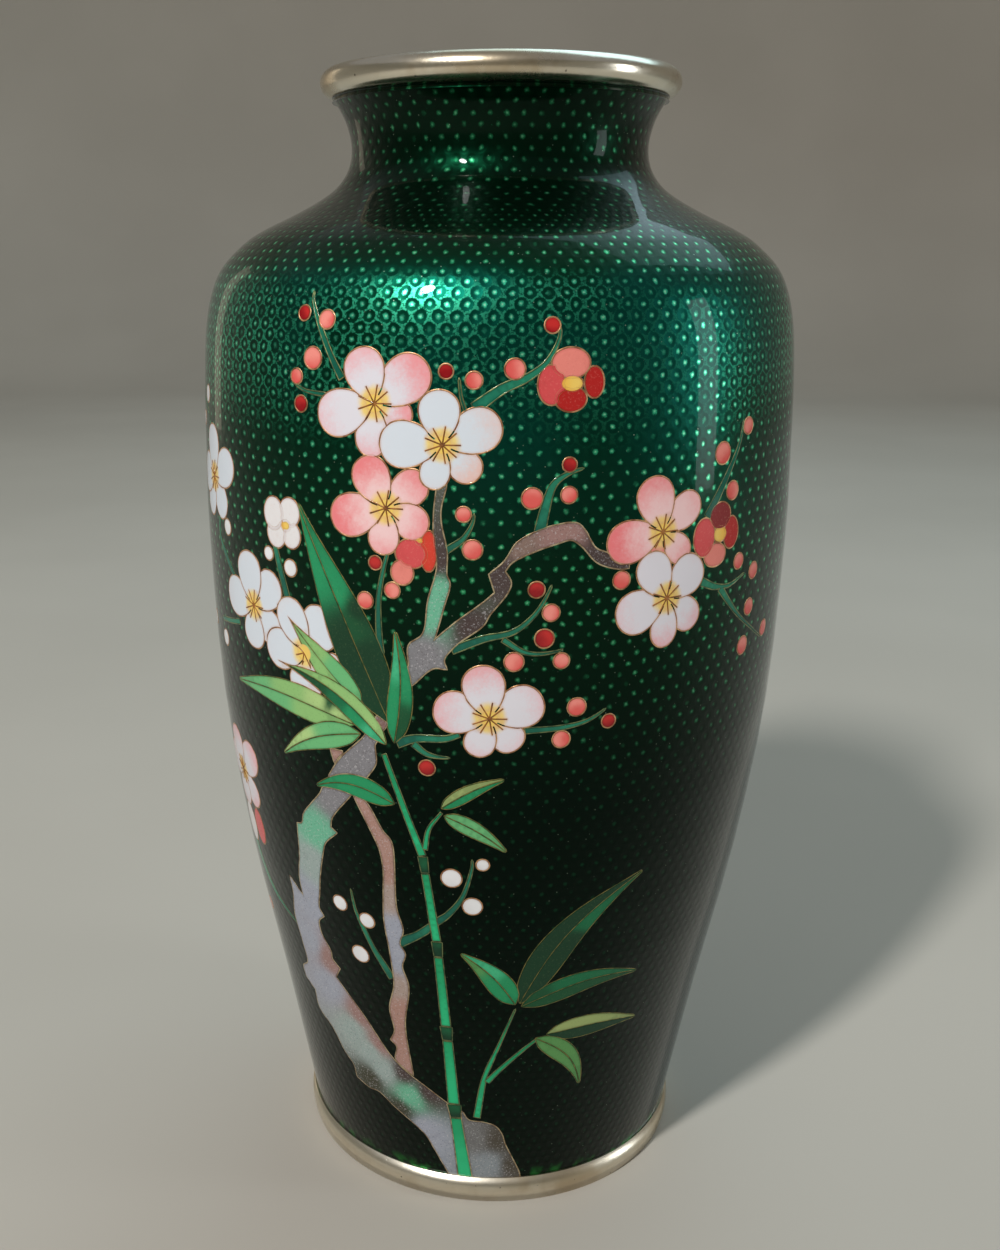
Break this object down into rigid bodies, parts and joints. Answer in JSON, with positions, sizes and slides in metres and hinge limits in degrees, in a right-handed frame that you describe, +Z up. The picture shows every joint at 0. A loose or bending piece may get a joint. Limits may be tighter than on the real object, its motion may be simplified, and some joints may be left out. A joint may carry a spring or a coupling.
{
  "type": "cloisonne vase",
  "caption": "Shouldered vase with a short waisted neck, dark green wired enamel over embossed foil, a plum and bamboo spray, and silver mouth and foot rings.",
  "frame": {"origin": "centre of the foot ring's resting plane, on the vase's axis", "axes": "+Z up along the axis; the middle of the picture faces -Y; +X is to the viewer's right when looking at the picture"},
  "size_m": [0.1298, 0.1298, 0.245],
  "materials": {
    "copper": "satin",
    "silver_foil": "polished",
    "silver_ring": "satin",
    "green_ground": "polished",
    "counter_enamel": "polished",
    "white_enamel": "polished",
    "blush_enamel": "polished",
    "pink_enamel": "polished",
    "yellow_enamel": "polished",
    "red_enamel": "polished",
    "coral_enamel": "polished",
    "gilt_wire": "satin",
    "bark_lilac": "polished",
    "bark_brown": "polished",
    "bark_mauve": "polished",
    "twig_teal": "polished",
    "bamboo_green": "polished",
    "bamboo_dark": "polished",
    "leaf_pale": "polished",
    "leaf_green": "polished",
    "leaf_dark": "polished"
  },
  "bodies": {
    "root": {"copper_body": "copper", "silver_foil": "silver_foil", "ground_enamel": "green_ground", "inner_counter_enamel": "counter_enamel", "base_counter_enamel": "counter_enamel", "rim_ring": "silver_ring", "foot_ring": "silver_ring", "white_petals": "white_enamel", "blush_petals": "blush_enamel", "pink_petals": "pink_enamel", "flower_hearts": "yellow_enamel", "petal_wires": "gilt_wire", "stamen_wires": "gilt_wire", "red_opening_petals": "coral_enamel", "white_opening_petals": "white_enamel", "opening_hearts": "yellow_enamel", "opening_wires": "gilt_wire", "red_buds": "red_enamel", "coral_buds": "coral_enamel", "white_buds": "white_enamel", "bud_wires": "gilt_wire", "trunk": "bark_lilac", "trunk_root": "bark_brown", "side_branch": "bark_mauve", "trunk_wires": "gilt_wire", "twigs": "twig_teal", "twig_wires": "gilt_wire", "bamboo_stalk": "bamboo_green", "bamboo_joints": "bamboo_dark", "bamboo_wires": "gilt_wire", "pale_leaves": "leaf_pale", "green_leaves": "leaf_green", "dark_leaves": "leaf_dark", "leaf_wires": "gilt_wire"}
  },
  "joints": []
}
